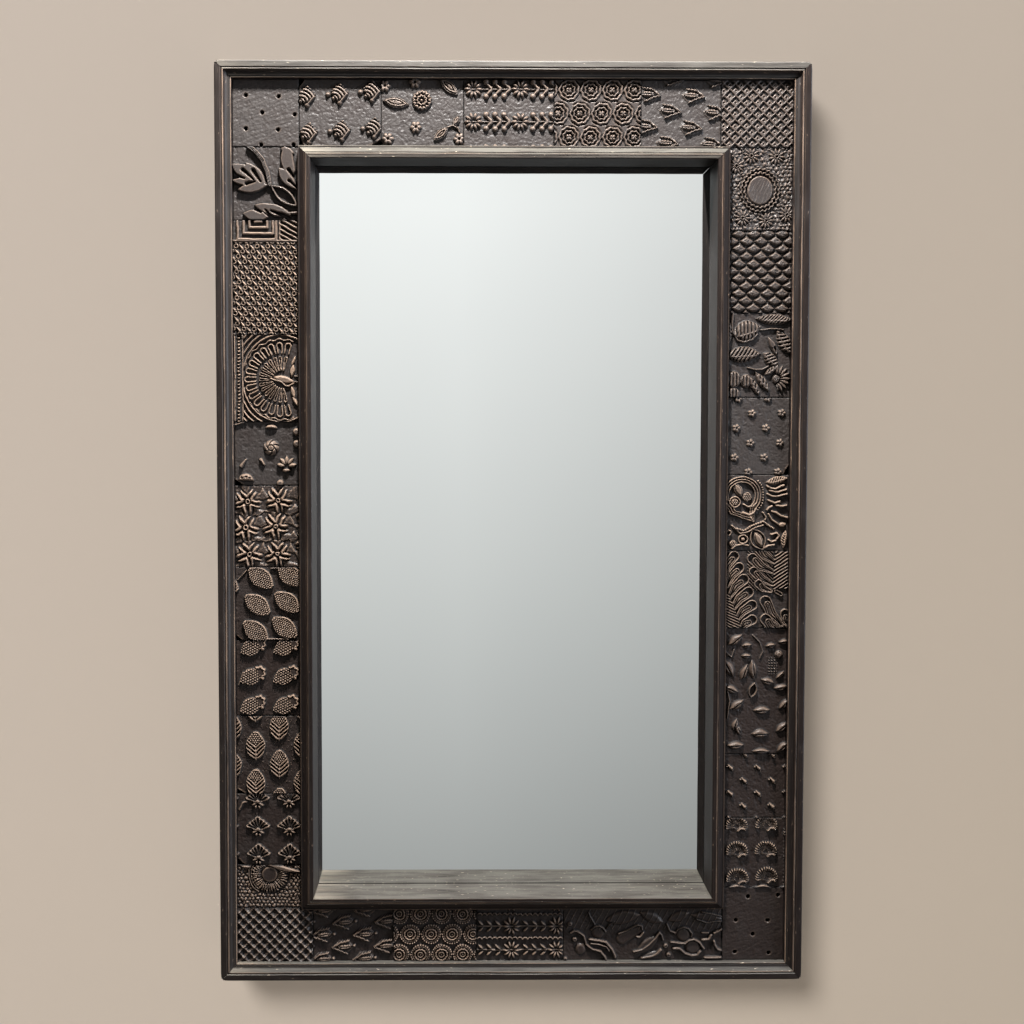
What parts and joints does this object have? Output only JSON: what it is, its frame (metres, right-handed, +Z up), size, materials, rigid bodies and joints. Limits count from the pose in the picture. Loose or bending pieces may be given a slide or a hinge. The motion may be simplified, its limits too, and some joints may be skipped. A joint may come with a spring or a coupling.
{
  "type": "wall mirror",
  "caption": "Tall wall mirror in a deep dark wooden frame faced with old carved printing blocks between two mouldings, hung by loose D-rings on the back.",
  "frame": {"origin": "behind the middle of the frame, in the plane of the wall that the back board touches", "axes": "+X to the right seen from the front, +Z up, front faces -Y, +Y into the wall"},
  "size_m": [0.64, 0.0763, 1],
  "materials": {
    "frame_wood": "near-black stained, rubbed through to tan on the edges, waxed",
    "block_wood": "old dye-stained hardwood, carved, tan where worn",
    "carrier_wood": "plain sawn, unstained",
    "mirror_glass": "silvered float glass",
    "packing_card": "plain brown card",
    "back_board": "plywood, sanded",
    "hanger_steel": "zinc plated"
  },
  "bodies": {
    "frame": {"back_board": "back_board", "block_bottom_1_scallops": "block_wood", "block_bottom_2_leaf_sprigs": "block_wood", "block_bottom_3_roundels": "block_wood", "block_bottom_4_garlands": "block_wood", "block_bottom_5_blossoms": "block_wood", "block_left_10_palmettes": "block_wood", "block_left_11_sunburst": "block_wood", "block_left_1_vine": "block_wood", "block_left_2_meander": "block_wood", "block_left_3_pinwheels": "block_wood", "block_left_4_peacock": "block_wood", "block_left_5_sparse_flowers": "block_wood", "block_left_6_star_flowers": "block_wood", "block_left_7_pods": "block_wood", "block_left_8_thistles": "block_wood", "block_left_9_berries": "block_wood", "block_right_10_drilled": "block_wood", "block_right_1_medallion": "block_wood", "block_right_2_scales": "block_wood", "block_right_3_scroll_leaves": "block_wood", "block_right_4_small_flowers": "block_wood", "block_right_5_paisley": "block_wood", "block_right_6_ferns": "block_wood", "block_right_7_tulips": "block_wood", "block_right_8_buds": "block_wood", "block_right_9_shells": "block_wood", "block_top_1_drilled": "block_wood", "block_top_2_sprigs": "block_wood", "block_top_3_posies": "block_wood", "block_top_4_garlands": "block_wood", "block_top_5_roundels": "block_wood", "block_top_6_leaf_sprigs": "block_wood", "block_top_7_lattice": "block_wood", "carrier_rail_bottom": "carrier_wood", "carrier_rail_top": "carrier_wood", "carrier_stile_left": "carrier_wood", "carrier_stile_right": "carrier_wood", "hanger_screw_left_lower": "hanger_steel", "hanger_screw_left_upper": "hanger_steel", "hanger_screw_right_lower": "hanger_steel", "hanger_screw_right_upper": "hanger_steel", "hanger_strap_left": "hanger_steel", "hanger_strap_right": "hanger_steel", "inner_moulding_bottom": "frame_wood", "inner_moulding_left": "frame_wood", "inner_moulding_right": "frame_wood", "inner_moulding_top": "frame_wood", "mirror_glass": "mirror_glass", "outer_moulding_bottom": "frame_wood", "outer_moulding_left": "frame_wood", "outer_moulding_right": "frame_wood", "outer_moulding_top": "frame_wood", "packing_card": "packing_card"},
    "ring_left": {"hanger_ring_left": "hanger_steel"},
    "ring_right": {"hanger_ring_right": "hanger_steel"}
  },
  "joints": [
    {"name": "ring_left_swing", "type": "hinge", "parent": "frame", "child": "ring_left", "pos_m": [-0.277, -0.0031, 0.25], "axis": [1, 0, 0], "range_deg": [0, 180]},
    {"name": "ring_right_swing", "type": "hinge", "parent": "frame", "child": "ring_right", "pos_m": [0.277, -0.0031, 0.25], "axis": [1, 0, 0], "range_deg": [0, 180]}
  ]
}
